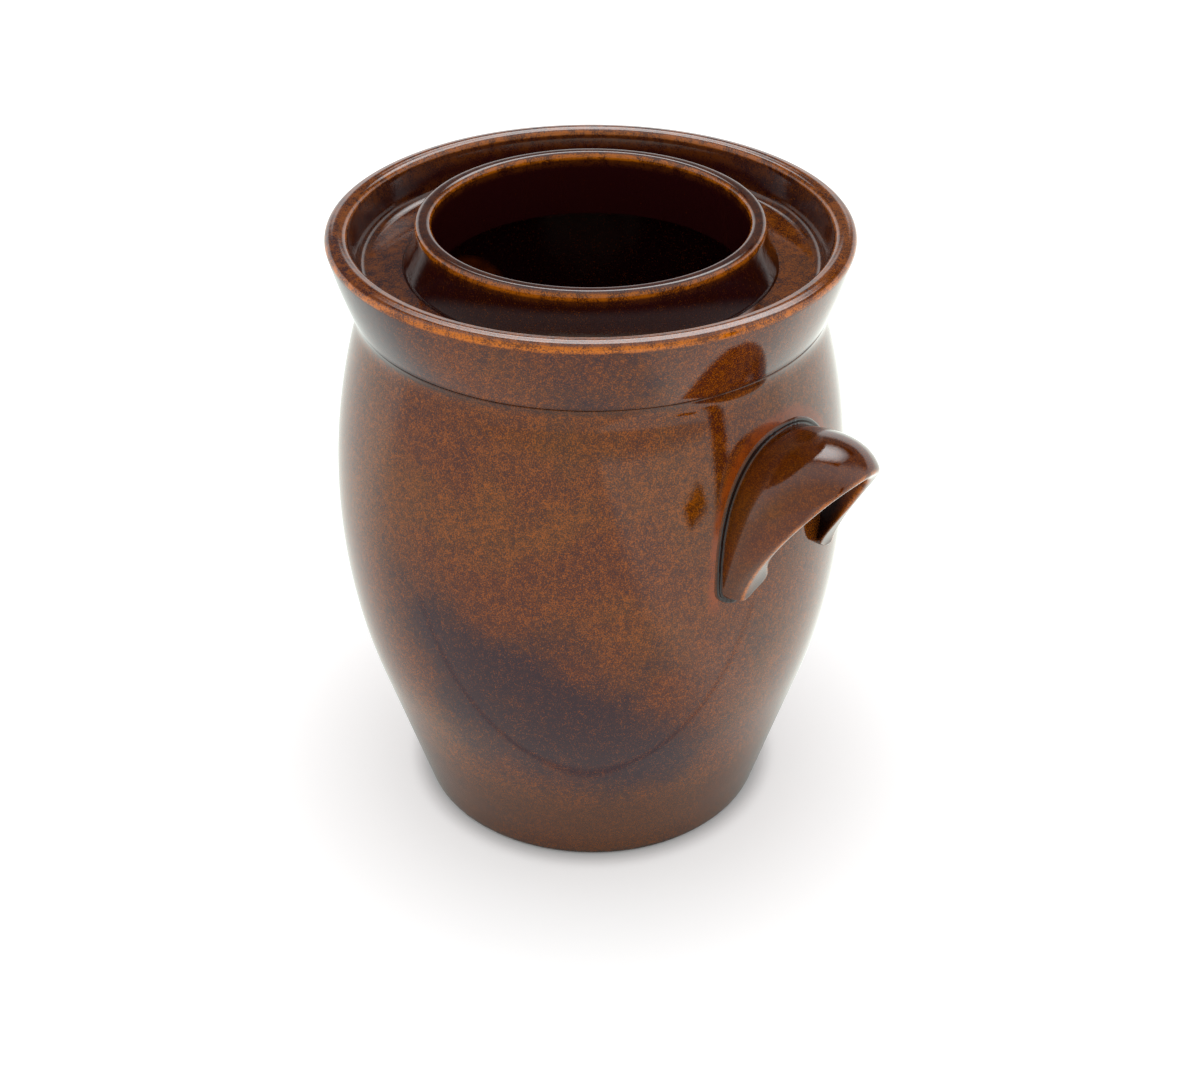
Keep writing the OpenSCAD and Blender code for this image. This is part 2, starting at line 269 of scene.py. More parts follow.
IRON_BROWN = (0.083, 0.0142, 0.0008)
OLIVE_BROWN = (0.108, 0.0400, 0.0020)
FOOT_BROWN = (0.060, 0.0150, 0.0018)
POOLED_DARK = (0.0215, 0.0033, 0.0088)
# Russet: the neck's own dark red, and also the colour of painted shade on faces that look at the axis
RUSSET = (0.022, 0.0024, 0.0006)
SPECK_ORANGE = (0.290, 0.069, 0.0012)
EDGE_AMBER = (0.52, 0.135, 0.0030)
HALO_RED = (0.26, 0.045, 0.0020)
# Black for painted shade: the contact shadow at the foot, and the creases, the handles' grooves, beads and finger
# hollows, where gathered glaze darkens too
SHADE_AND_POOL_BLACK = (0.005, 0.0018, 0.0026)
BARE_CLAY = (0.46, 0.36, 0.26)
CLOUD_AT = (math.cos(math.radians(-60)), math.sin(math.radians(-60)))
CLOUD_Z = 0.124
CLOUD_WIDE = 0.084
CLOUD_HIGH = 0.050
CLOUD_SLANT = 0.55
# The glaze's noises: scale, detail and roughness
NOISES = {
    "grain": (1650.0, 2.0, 0.65), "blotch": (400.0, 2.0, 0.6), "flock": (150.0, 4.0, 0.65),
    "drift": (19.0, 4.0, 0.6), "cloud": (6.5, 2.0, 0.5), "orange peel": (260.0, 2.0, 0.5)}
GLAZE_ROUGHNESS = 0.05
CLAY_ROUGHNESS = 0.80
GLAZE_IOR = 1.5


def arc(centre, radius, start, end, steps):
    """Points of a round, by its centre (radius from the axis, height) and its angles in degrees."""
    points = []
    for k in range(steps + 1):
        angle = math.radians(start + (end - start) * k / steps)
        points.append((centre[0] + radius * math.cos(angle), centre[1] + radius * math.sin(angle)))
    return points


def bowed(start, end, bow, steps):
    """Points of a nearly straight face that is hollowed, or swollen, by bow at its middle."""
    (x0, z0), (x1, z1) = start, end
    length = math.hypot(x1 - x0, z1 - z0)
    side = ((z0 - z1) / length, (x1 - x0) / length)
    points = []
    for k in range(steps + 1):
        t = k / steps
        swell = bow * 4 * t * (1 - t)
        points.append((x0 + (x1 - x0) * t + side[0] * swell, z0 + (z1 - z0) * t + side[1] * swell))
    return points


def only(piece):
    bpy.ops.object.select_all(action="DESELECT")
    piece.select_set(True)
    bpy.context.view_layer.objects.active = piece


def throw(name, profile, turns=TURNS):
    """Draws a profile of (radius from the axis, height) point by point and spins it once round the axis."""
    bpy.ops.object.select_all(action="DESELECT")
    bpy.ops.mesh.primitive_plane_add(size=0.0002, location=(profile[0][0], 0, profile[0][1]))
    piece = bpy.context.object
    piece.name = name
    piece.data.name = name
    bpy.ops.object.transform_apply(location=True, rotation=True, scale=True)
    bpy.ops.object.mode_set(mode="EDIT")
    bpy.ops.mesh.select_mode(type="VERT")
    bpy.ops.mesh.select_all(action="SELECT")
    bpy.ops.mesh.merge(type="CENTER")
    for (r0, z0), (r1, z1) in zip(profile, profile[1:]):
        bpy.ops.mesh.extrude_region_move(TRANSFORM_OT_translate={"value": (r1 - r0, 0, z1 - z0)})
    bpy.ops.mesh.select_all(action="SELECT")
    bpy.ops.mesh.spin(steps=turns, angle=math.tau, center=(0, 0, 0), axis=(0, 0, 1))
    bpy.ops.mesh.select_all(action="SELECT")
    bpy.ops.mesh.remove_doubles(threshold=0.00002)
    bpy.ops.mesh.normals_make_consistent(inside=False)
    bpy.ops.object.mode_set(mode="OBJECT")
    return piece


def unevenness(piece, size, depth):
    """The hand's slight unevenness in a thrown and glazed surface."""
    only(piece)
    texture = bpy.data.textures.new(piece.name + "_unevenness", type="CLOUDS")
    texture.noise_scale = size
    texture.noise_depth = 1
    bpy.ops.object.modifier_add(type="DISPLACE")
    change = piece.modifiers[-1]
    change.texture = texture
    change.texture_coords = "LOCAL"
    change.strength = depth
    change.mid_level = 0.5
    bpy.ops.object.modifier_apply(modifier=change.name)
    bpy.ops.object.shade_smooth_by_angle(angle=SMOOTH_ANGLE)


def glaze(name, breaks=(), pools=(), clouds=1.0, lean=0.0, russet=0.0, inward_shade=1.0, speckle=1.0,
          belly=False, painted=False):
    """The iron-brown glaze. breaks lists where it runs thin over an edge and turns amber: (radius, height, reach,
    strength) of each edge circle. pools lists in the same way the creases that it darkens: there the glaze gathers,
    and painted shade deepens them. clouds is how much it gathers dark, lean how much darker it is on the left, russet
    how red it is all over, inward how much painted shade darkens and reddens faces that look at the axis, and
    speckle how strongly it is speckled. belly adds the large cloud, the darker foot with a painted contact shadow at
    its bottom, and the halos round the handles. painted reads the piece's own thin and pooled values; the pooled one
    is painted shade on the groove, bead and finger hollow, with glaze gathered dark in the groove."""
    material = bpy.data.materials.new(name)
    material.use_nodes = True
    tree = material.node_tree
    tree.nodes.clear()

    def add(*values):
        return calc(tree, "ADD", *values)

    def times(*values):
        return calc(tree, "MULTIPLY", *values)

    def centred(value):
        return calc(tree, "SUBTRACT", value, 0.5)

    def painted_value(name):
        made = tree.nodes.new("ShaderNodeAttribute")
        made.attribute_name = name
        return made.outputs["Fac"]

    def noise(label):
        scale, detail, roughness = NOISES[label]
        return node(
            tree, "ShaderNodeTexNoise", label, Vector=place, Scale=scale, Detail=detail,
            Roughness=roughness).outputs["Fac"]

    source = node(tree, "ShaderNodeTexCoord").outputs
    place = source["Object"]
    x, y, z = node(tree, "ShaderNodeSeparateXYZ", Vector=place).outputs
    radius = calc(tree, "SQRT", add(times(x, x), times(y, y)))
    nx, ny, nz = node(tree, "ShaderNodeSeparateXYZ", Vector=source["Normal"]).outputs
    outwards = add(times(nx, x), times(ny, y))

    grain, flock, drift, cloud, blotch = (noise(label) for label in ("grain", "flock", "drift", "cloud", "blotch"))

    # Dark pools: large clouds, broken at their borders by the smaller drift
    pool = add(add(cloud, times(centred(drift), 0.85)), times(ramp(tree, x, 0.08, -0.09), lean))
    pool = add(pool, times(centred(flock), 0.40))
    if belly:
        # The largest cloud lies low on the belly, left of the front, and climbs to the left
        across = add(times(x, -CLOUD_AT[1]), times(y, CLOUD_AT[0]))
        facing = add(times(x, CLOUD_AT[0]), times(y, CLOUD_AT[1]))
        up = add(add(z, times(across, CLOUD_SLANT)), -CLOUD_Z)
        far = calc(tree, "SQRT", add(
            calc(tree, "POWER", times(across, 1 / CLOUD_WIDE), 2.0),
            calc(tree, "POWER", times(up, 1 / CLOUD_HIGH), 2.0)))
        swell = times(ramp(tree, far, 1.75, 0.1), ramp(tree, facing, 0.0, 0.04))
        pool = add(add(pool, -0.12), times(swell, 0.34))
        pool = add(pool, times(ramp(tree, z, 0.075, 0.045), -0.12))
    darkening = times(ramp(tree, pool, 0.42, 0.74), clouds)
    colour = tint(tree, russet, IRON_BROWN, RUSSET)
    colour = tint(tree, ramp(tree, drift, 0.40, 0.64, 0.05, 0.50 - 0.45 * russet), colour, OLIVE_BROWN)
    colour = tint(tree, darkening, colour, POOLED_DARK)
    # Faces that look at the axis, inside the jar and its mouth, get painted shade: darker and redder
    inside = times(ramp(tree, outwards, -0.002, -0.030), inward_shade)
    colour = tint(tree, inside, colour, RUSSET)
    if belly:
        # Darker and browner towards the foot, and black where it meets the paper: a painted contact shadow
        colour = tint(tree, ramp(tree, z, 0.072, 0.040, 0.0, 0.70), colour, FOOT_BROWN)
        colour = tint(tree, ramp(tree, z, 0.0040, 0.0012, 0.0, 0.90), colour, SHADE_AND_POOL_BLACK)

    # Fine orange speckle, in faint flocks, thinner where the glaze pools and in the painted shade on faces that look
    # at the axis
    speck = add(grain, times(centred(flock), 0.20))
    speck = add(speck, times(centred(blotch), 0.34))
    speck = add(speck, times(centred(drift), 0.10))
    speck = add(speck, times(darkening, -0.075))
    speck = add(speck, times(inside, -0.13))
    speck = add(speck, -0.09 * russet)
    clear = ramp(tree, pool, 0.35, 0.85, 1.0, 0.62)
    if belly:
        clear = times(clear, ramp(tree, z, 0.035, 0.065, 0.40, 1.0))
    colour = tint(tree, times(times(ramp(tree, speck, 0.475, 0.65), 0.85 * speckle), clear), colour, SPECK_ORANGE)
    colour = tint(tree, times(times(ramp(tree, speck, 0.47, 0.36), 0.60 * speckle), clear), colour, POOLED_DARK)

    # Amber where the glaze runs thin over an edge, ragged and still speckled
    rag = add(times(flock, 0.55), times(grain, 0.55))

    def near(circles):
        """How near each point lies to the edge circles, from 0 to their strength."""
        nearness = []
        for edge_r, edge_z, reach, strength in circles:
            off = calc(tree, "SQRT", add(
                calc(tree, "POWER", calc(tree, "SUBTRACT", radius, edge_r), 2.0),
                calc(tree, "POWER", calc(tree, "SUBTRACT", z, edge_z), 2.0)))
            nearness.append(times(ramp(tree, off, reach, reach * 0.35), strength))
        return nearness

    thins = near(breaks)
    if painted:
        thins.append(painted_value("thin"))
    for thin in thins:
        colour = tint(tree, times(thin, ramp(tree, rag, 0.46, 0.62, 0.12, 1.0)), colour, EDGE_AMBER)
    if belly:
        # A red halo on the belly round each handle's bead
        turned = times(calc(tree, "LESS_THAN", x, 0.0), -HANDLE_SKEW)
        around = times(add(calc(tree, "ARCTAN2", y, calc(tree, "ABSOLUTE", x)), turned), radius)
        above = calc(tree, "MAXIMUM", add(z, -HANDLE_SPRING_Z), 0.0)
        wide = calc(tree, "POWER", times(calc(tree, "ABSOLUTE", around), 2 / HANDLE_W), 2 / ARCH_POWER)
        high = calc(tree, "POWER", times(above, 1 / HANDLE_RISE), 2 / ARCH_POWER)
        arch = calc(tree, "POWER", add(wide, high), ARCH_POWER / 2)
        halo = times(ramp(tree, arch, 1.13, 1.06), ramp(tree, arch, 0.94, 1.0))
        halo = times(halo, ramp(tree, z, 0.168, 0.180))
        colour = tint(tree, times(halo, ramp(tree, rag, 0.44, 0.60, 0.35, 0.85)), colour, HALO_RED)
    # Where the glaze gathers in creases and grooves it turns black, and painted shade blackens them further, with the
    # beads and the finger hollows
    deeps = near(pools)
    if painted:
        deeps.append(painted_value("darkening"))
    for deep in deeps:
        if not painted:
            # Painted shade makes a crease darker on the left
            deep = times(deep, ramp(tree, x, 0.06, -0.03, 0.45, 1.0))
        colour = tint(tree, deep, colour, SHADE_AND_POOL_BLACK)

    # The wiped foot shows the bare clay
    bare = times(ramp(tree, z, 0.0006, 0.0003), ramp(tree, radius, 0.0885, 0.0875))
    colour = tint(tree, bare, colour, BARE_CLAY)
    rough = add(GLAZE_ROUGHNESS, times(bare, CLAY_ROUGHNESS - GLAZE_ROUGHNESS))

    skin = node(tree, "ShaderNodeBump", Strength=0.05, Distance=0.0006, Height=noise("orange peel"))
    pit = node(tree, "ShaderNodeBump", Strength=0.05, Distance=0.0003, Height=grain, Normal=skin.outputs[0])
    shader = node(
        tree, "ShaderNodeBsdfPrincipled", Base_Color=colour, Roughness=rough, IOR=GLAZE_IOR, Normal=pit.outputs[0])
    link(tree, shader.outputs[0], node(tree, "ShaderNodeOutputMaterial").inputs["Surface"])
    return material


def body_face(offset, low_z, round_r, steps):
    """The belly's curve at offset inside the outer face, from the round at its foot up to the shoulder."""
    centre = (BELLY_R - BELLY_CURVE, BELLY_Z)
    foot = (FOOT_R - centre[0], -centre[1])
    lean = math.acos(min(1.0, BELLY_CURVE / math.hypot(*foot)))
    tangent = math.degrees(math.atan2(foot[1], foot[0]) + lean)
    slope = (math.cos(math.radians(tangent)), math.sin(math.radians(tangent)))
    line = slope[0] * centre[0] + slope[1] * centre[1] + BELLY_CURVE - offset
    corner = ((line - round_r - slope[1] * (low_z + round_r)) / slope[0], low_z + round_r)
    curve = BELLY_CURVE - offset
    cone_top = (centre[0] + curve * slope[0], centre[1] + curve * slope[1])
    round_end = (corner[0] + round_r * slope[0], corner[1] + round_r * slope[1])
    cone = bowed(round_end, cone_top, 0.0, 14)
    top = math.degrees(math.asin((SHOULDER_Z - BELLY_Z) / curve))
    return arc(corner, round_r, -90, tangent, 8) + cone[1:-1] + arc(centre, curve, tangent, top, steps)


outer = body_face(0.0, 0.0, FOOT_ROUND, 64)
inner = body_face(WALL, FLOOR_T, COVE_R, 48)
top_r = outer[-1][0]
# The shoulder draws in to the luting line under the gutter ring
outer = [p for p in outer if p[1] < BEND_Z] + [(top_r + out, z) for out, z in BEND]
profile = [(0.0, 0.0), (0.030, 0.0), (0.060, 0.0)] + outer
profile += inner[::-1] + [(0.060, FLOOR_T), (0.030, FLOOR_T), (0.0, FLOOR_T)]
body = throw("crock_body_glazed", profile)
unevenness(body, 0.11, 0.0007)
# The crease under the gutter ring is darkened by gathered glaze and by painted shade
body.data.materials.append(glaze(
    "brown_glaze_body", pools=[(0.1134, 0.2788, 0.0036, 0.85)], lean=0.07, belly=True))
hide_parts("crock_body")
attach(body, "crock")


# ---- Gutter ring ----
# A ring luted on the shoulder: a level floor round the neck, and a flared outer wall with a rounded rim. The
# glaze runs thin over the rim's edges and turns amber there.
RIM_R = 0.125
RIM_Z = 0.317
RIM_T = 0.0107
RIM_ROUND = 0.0032
RIM_CROWN = 0.0004
RING_STEP = 0.0042
RING_ROUND = 0.0009
GUTTER_Z = 0.298
CEILING_Z = 0.288
GUTTER_BATTER = 0.0036
GUTTER_COVE = 0.005
FLARE_HOLLOW = 0.0006
NECK_FOOT_R = 0.0896

seat_in_r = inner[-1][0]
ring_r = top_r + RING_STEP
gutter_r = RIM_R - RIM_T - GUTTER_BATTER
rim_out = (RIM_R - RIM_ROUND, RIM_Z - RIM_ROUND)
rim_in = (RIM_R - RIM_T + RIM_ROUND, RIM_Z - RIM_ROUND)
profile = [(NECK_FOOT_R, CEILING_Z), (seat_in_r - GUTTER_COVE, CEILING_Z)]
profile += arc((seat_in_r - GUTTER_COVE, CEILING_Z - GUTTER_COVE), GUTTER_COVE, 90, 0, 6)[1:]
profile += [(seat_in_r, SHOULDER_Z), (seat_in_r + 0.004, SHOULDER_Z)]
profile += arc((ring_r - RING_ROUND, SHOULDER_Z + RING_ROUND), RING_ROUND, -90, -10, 7)
profile += bowed((ring_r, SHOULDER_Z + RING_ROUND), (RIM_R, rim_out[1]), -FLARE_HOLLOW, 18)
profile += arc(rim_out, RIM_ROUND, 8, 90, 8)[1:]
profile += bowed((rim_out[0], RIM_Z), (rim_in[0], RIM_Z), -RIM_CROWN, 6)[1:-1]
profile += arc(rim_in, RIM_ROUND, 90, 172, 8)
profile += bowed((RIM_R - RIM_T, rim_in[1]), (gutter_r, GUTTER_Z + GUTTER_COVE), 0.0, 8)
profile += arc((gutter_r - GUTTER_COVE, GUTTER_Z + GUTTER_COVE), GUTTER_COVE, 0, -90, 8)[1:]
profile += bowed((gutter_r - GUTTER_COVE, GUTTER_Z), (NECK_FOOT_R, GUTTER_Z), 0.0, 6)[1:]
profile += [(NECK_FOOT_R, CEILING_Z)]
ring = throw("gutter_ring_glazed", profile)
unevenness(ring, 0.10, 0.0006)
# The crease at its foot is darkened by gathered glaze and by painted shade
ring.data.materials.append(glaze(
    "brown_glaze_ring",
    [(RIM_R, RIM_Z - 0.0022, 0.0024, 1.0), (RIM_R - RIM_T + 0.0002, RIM_Z - 0.0012, 0.0020, 0.7),
     (RIM_R - RIM_T / 2, RIM_Z, 0.0075, 0.35),
     (0.5 * (NECK_FOOT_R + gutter_r), GUTTER_Z, 0.016, 0.30), (RIM_R - RIM_T, RIM_Z - 0.003, 0.009, 0.14)],
    [(ring_r, SHOULDER_Z + 0.0002, 0.0014, 0.7)], lean=0.42))
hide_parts("gutter_ring")
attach(ring, "crock")


# ---- Neck ring ----
# A short ring luted in the gutter floor's hole, round the mouth. It spreads towards its foot, and its lip stands
# a little above the rim.
MOUTH_R = 0.075
LIP_R = 0.0828
NECK_Z = 0.3205
NECK_HOLLOW = 0.0014
LIP_ROUND = 0.0028

profile = [(MOUTH_R, CEILING_Z), (NECK_FOOT_R, CEILING_Z), (NECK_FOOT_R, GUTTER_Z)]
profile += bowed((NECK_FOOT_R, GUTTER_Z), (LIP_R, NECK_Z - LIP_ROUND), NECK_HOLLOW, 12)[1:]
profile += arc((LIP_R - LIP_ROUND, NECK_Z - LIP_ROUND), LIP_ROUND, 10, 90, 8)[1:]
profile += arc((MOUTH_R + LIP_ROUND, NECK_Z - LIP_ROUND), LIP_ROUND, 90, 180, 8)
profile += bowed((MOUTH_R, NECK_Z - LIP_ROUND), (MOUTH_R, CEILING_Z), 0.0, 10)[1:]
neck = throw("neck_ring_glazed", profile)
unevenness(neck, 0.09, 0.0005)
neck.data.materials.append(glaze(
    "brown_glaze_neck",
    [(LIP_R, NECK_Z - 0.0022, 0.0024, 0.9), (MOUTH_R, NECK_Z - 0.0018, 0.0022, 1.0),
     (LIP_R, NECK_Z - 0.0022, 0.0055, 0.12), (MOUTH_R, NECK_Z - 0.0022, 0.0060, 0.15)],
    clouds=0.4, russet=1.0, speckle=0.55))
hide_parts("neck_ring")
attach(neck, "crock")


# ---- Ear handles ----
# Each is an arch of clay, luted on the belly along its back edge, where a tool has run a groove beside a bead of
# slip. It is hollowed below for the fingers, pinched thin at its sides and pressed flat with the thumb at its feet.
# Across the groove and the bead: how far each point stands off the wall, and how far inside the arch it lies
GROOVE = 0.0024
BEAD = ((-0.0030, -0.0017), (-0.0005, -0.0017), (0.00020, -0.00135), (0.00095, -0.0008), (0.00130, -0.0001),
        (0.00100, 0.00050), (0.00030, 0.00090), (0.00005, 0.0013), (0.00005, 0.0019))
GRIP_W = 0.068
GRIP_FOOT_Z = 0.1783
GRIP_RISE = 0.0647
GRIP_REACH = 0.0376
REACH_POWER = 0.79
WIDTH_POWER = 0.80
RISE_POWER = 0.60
GRIP_T = 0.0075
PINCH_T = 0.0015
FOOT_PRESS = 0.0125
ROOT_T = 0.013
ROOT_SINK = 0.003
FOOT_DROP = 0.0075
FOOT_HALF = 0.0125
HANDLE_STATIONS = 48
FOOT_STATIONS = 9
SKIN_POINTS = 22
LIP_POINTS = 5
HOLLOW_POINTS = 10
HANDLE_VOXEL = 0.00065
HANDLE_SMOOTHING = 5
# How far from its line the glaze is thin, and how far it is darkened by gathered glaze and by painted shade
EDGE_REACH = 0.0016
INNER_REACH = 0.0020
GROOVE_REACH = 0.0016
BEAD_REACH = 0.0012
HOLLOW_REACH = 0.0060


def wall_radius(z):
    return BELLY_R - BELLY_CURVE + math.sqrt(BELLY_CURVE ** 2 - (z - BELLY_Z) ** 2)


def on_wall(u, z, out):
    """A point by its way u round the wall from the handle's middle, its height, and how far it stands out."""
    radius = wall_radius(z)
    return Vector(((radius + out) * math.cos(u / radius), (radius + out) * math.sin(u / radius), z))


def signed_power(value, power):
    return math.copysign(abs(value) ** power, value)


def bezier(start, turn, end, steps):
    return [start * (1 - t) ** 2 + turn * 2 * t * (1 - t) + end * t * t for t in (k / steps for k in range(steps + 1))]


def luted(angle, out, inset):
    """The arch along which the handle is luted, at an angle from its crown."""
    c, s = max(0.0, math.cos(angle)), math.sin(angle)
    return on_wall(
        (HANDLE_W / 2 - inset) * signed_power(s, ARCH_POWER),
        HANDLE_SPRING_Z + (HANDLE_RISE - inset) * c ** ARCH_POWER, out)


def free_edge(angle):
    c, s = max(0.0, math.cos(angle)), math.sin(angle)
    return Vector((
        BELLY_R + GRIP_REACH * c ** REACH_POWER, GRIP_W / 2 * signed_power(s, WIDTH_POWER),
        GRIP_FOOT_Z + GRIP_RISE * c ** RISE_POWER))


def inner_edge(angle):
    """The inner edge of the lip: thick at the crown, pinched at the sides and spread by the thumb at the feet."""
    c, s = max(0.0, math.cos(angle)), math.sin(angle)
    press = c ** RISE_POWER - 0.17
    pressed = FOOT_PRESS * math.exp(-(press / (0.16 if press < 0 else 0.18)) ** 2)
    thick = PINCH_T + (GRIP_T - PINCH_T) * c ** 0.7 + pressed
    foot = (1 - c) ** 2.5
    return free_edge(angle) + thick * Vector((-0.74 * c, -s * (0.85 + 0.11 * foot), -0.67 * c - 0.22 * (1 - c)))


def evenly(points, count):
    """The same line with count points, evenly spaced."""
    way = [0.0]
    for a, b in zip(points, points[1:]):
        way.append(way[-1] + (b - a).length)
    result, k = [], 0
    for n in range(count):
        goal = way[-1] * n / (count - 1)
        while k < len(way) - 2 and way[k + 1] < goal:
            k += 1
        part = (goal - way[k]) / max(1e-9, way[k + 1] - way[k])
        result.append(points[k].lerp(points[k + 1], min(1.0, part)))
    return result


def handle_section(angle):
    """A closed line round the handle: bead, groove, skin, rounded lip, finger hollow, and back in the wall."""
    c, s = max(0.0, math.cos(angle)), math.sin(angle)
    edge, inner = free_edge(angle), inner_edge(angle)
    stand = max(0.002, math.hypot(edge.x, edge.y) - wall_radius(edge.z))
    start = luted(angle, 0.0002, GROOVE)
    turn = luted(angle, 0.74 * stand, GROOVE + 0.0003) + Vector((0, 0, 0.009 * c))
    foot = (1 - c) ** 2.5
    back = on_wall(
        (HANDLE_W / 2 - ROOT_T - 0.004 * foot) * signed_power(s, ARCH_POWER),
        HANDLE_SPRING_Z + HANDLE_RISE * 0.76 * c ** ARCH_POWER - 0.005 * foot, -ROOT_SINK)
    lip_way = (inner - edge).normalized()
    lip_t = (inner - edge).length
    # The lip's outer corner is round at the crown and sharper at the sides
    setback = min(1.3 * (0.0028 * c * c + 0.0009 * (1 - c * c)), 0.45 * lip_t)
    skin = [p for p in bezier(start, turn, edge, SKIN_POINTS) if (p - edge).length > setback]
    skin.append(edge + (skin[-1] - edge).normalized() * setback)
    corner = bezier(skin[-1], edge, edge + lip_way * setback, 6)
    small = min(0.0013, 0.4 * lip_t)
    crown = (inner + back) / 2 + stand * Vector((0.08, 0, 0.16 * c))
    hollow = [p for p in bezier(inner, crown, back, HOLLOW_POINTS) if (p - inner).length > small]
    hollow.insert(0, inner + (hollow[0] - inner).normalized() * small)
    inner_corner = bezier(inner - lip_way * small, inner, hollow[0], 4)
    return ([luted(angle, out, inset) for out, inset in BEAD] + evenly(skin, SKIN_POINTS) + corner[1:]
            + evenly([corner[-1], inner_corner[0]], LIP_POINTS)[1:] + inner_corner[1:]
            + evenly(hollow, HOLLOW_POINTS)[1:])


def foot_section(way, turn):
    """A foot's rounded end: its last section, whose outer part is swung down round its inner part."""
    middle = way * (HANDLE_W / 2 - GROOVE - FOOT_HALF)
    line = []
    for point in handle_section(way * math.pi / 2):
        radius = math.hypot(point.x, point.y)
        wall = wall_radius(point.z)
        u, z, out = wall * math.atan2(point.y, point.x), point.z, radius - wall
        across = way * (u - middle)
        if across > 0:
            u = middle + way * across * math.cos(turn)
            z -= across * FOOT_DROP / FOOT_HALF * math.sin(turn)
            if across > FOOT_HALF:
                out += (-ROOT_SINK - out) * max(0.0, (turn - 1.1) / (math.pi / 2 - 1.1)) ** 2
            else:
                out *= 1 - 0.35 * math.sin(turn) ** 4
        else:
            out += (-ROOT_SINK - out) * math.sin(turn) ** 2
        line.append(on_wall(u, z, out))
    return line


# The sections stand evenly along the way of the arch and the free edge together
fine = [math.pi / 2 * k / 600 for k in range(601)]
way = [0.0]
for a, b in zip(fine, fine[1:]):
    step = free_edge(b) - free_edge(a) + luted(b, 0, 0) - luted(a, 0, 0)
    way.append(way[-1] + step.length)
angles, k = [], 0
for n in range(HANDLE_STATIONS + 1):
    goal = way[-1] * n / HANDLE_STATIONS
    while k < len(way) - 1 and way[k] < goal:
        k += 1
    angles.append(fine[k])
angles = [-a for a in angles[:0:-1]] + angles
turns = [math.pi / 2 * k / FOOT_STATIONS for k in range(1, FOOT_STATIONS + 1)]
sections = [foot_section(-1, t) for t in reversed(turns)] + [handle_section(a) for a in angles]
sections += [foot_section(1, t) for t in turns]

# The lines that the glaze follows: free edge, the lip's inner edge, bead, groove and finger hollow
lines = {}
skin_end = len(BEAD) + SKIN_POINTS
for name, columns in (
        ("edge", [skin_end + 2]), ("inner", [skin_end + 12]), ("bead", [4]), ("groove", [7]),
        ("hollow", range(skin_end + 17, skin_end + 22, 2))):
    points = [
        a[column].lerp(b[column], k / 6)
        for column in columns for a, b in zip(sections, sections[1:]) for k in range(6)]
    tree = KDTree(len(points))
    for k, point in enumerate(points):
        tree.insert(point, k)
    tree.balance()
    lines[name] = tree

for side, spin in (("right", 0.0), ("left", math.pi + HANDLE_SKEW)):
    bpy.ops.object.select_all(action="DESELECT")
    columns = len(sections[0])
    bpy.ops.mesh.primitive_grid_add(x_subdivisions=columns, y_subdivisions=len(sections) - 1, size=0.1)
    handle = bpy.context.object
    handle.name = "handle_%s_glazed" % side
    handle.data.name = handle.name
    # The sheet is wrapped into the handle, section by section, and its long seam and its two ends are closed
    for number, vertex in enumerate(handle.data.vertices):
        row, column = divmod(number, columns + 1)
        vertex.co = sections[row][column % columns]
    bpy.ops.object.mode_set(mode="EDIT")
    bpy.ops.mesh.select_all(action="SELECT")
    bpy.ops.mesh.remove_doubles(threshold=0.000005)
    bpy.ops.mesh.fill_holes(sides=0)
    bpy.ops.mesh.select_all(action="SELECT")
    bpy.ops.mesh.normals_make_consistent(inside=False)
    bpy.ops.object.mode_set(mode="OBJECT")
    bpy.ops.object.modifier_add(type="REMESH")
    remesh = handle.modifiers[-1]
    remesh.mode = "VOXEL"
    remesh.voxel_size = HANDLE_VOXEL
    bpy.ops.object.modifier_apply(modifier=remesh.name)
    bpy.ops.object.modifier_add(type="SMOOTH")
    smooth = handle.modifiers[-1]
    smooth.factor = 0.5
    smooth.iterations = HANDLE_SMOOTHING
    bpy.ops.object.modifier_apply(modifier=smooth.name)
    bpy.ops.object.shade_smooth()
    # How near each point lies to the free edge and the lip's inner edge, where the glaze is thin, and to the groove,
    # the bead and the finger hollow, which are darkened: the glaze gathers in the groove, and painted shade darkens
    # all three
    thin = handle.data.attributes.new("thin", "FLOAT", "POINT")
    darkening = handle.data.attributes.new("darkening", "FLOAT", "POINT")
    for number, vertex in enumerate(handle.data.vertices):
        off = {name: line.find(vertex.co)[2] for name, line in lines.items()}
        near_edge = min(off["edge"] / EDGE_REACH, off["inner"] / INNER_REACH)
        near_bead = min(off["groove"] / GROOVE_REACH, off["bead"] / BEAD_REACH)
        near_hollow = off["hollow"] / HOLLOW_REACH
        thin.data[number].value = max(0.0, 1 - near_edge) ** 0.7 * 0.9
        darkening.data[number].value = min(1.0, max(0.0, 1.6 - 1.6 * near_bead, 1.2 - near_hollow))
    # Each handle is made on the right, and the left one is then turned to its side
    bpy.ops.object.mode_set(mode="EDIT")
    bpy.ops.mesh.select_all(action="SELECT")
    bpy.ops.transform.rotate(value=spin, orient_axis="Z", center_override=(0, 0, 0))
    bpy.ops.object.mode_set(mode="OBJECT")
    handle.data.materials.append(glaze(
        "brown_glaze_handle_" + side, clouds=0.35, inward_shade=0.0, speckle=0.55, painted=True))
    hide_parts("handle_" + side)
    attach(handle, "crock")


# ---- Weight stones ----
# Two half-moons of bare fired stoneware that hold the food under the brine. They are cut from one slab while it is
# soft, and their edges are rounded off with a wet sponge.
STONE_R = 0.0675
STONE_T = 0.022
STONE_Z = 0.0123
STONE_GAP = 0.005
STONE_ROUND = 0.003
STONE_SIDES = 160
STONE_VOXEL = 0.0014
STONE_SMOOTHING = 6
CLAY_PALE = (0.50, 0.40, 0.29)
CLAY_FLASHED = (0.40, 0.27, 0.17)
SAND = (0.30, 0.23, 0.17)
IRON_SPOT = (0.10, 0.055, 0.03)
GROG = (0.62, 0.54, 0.42)


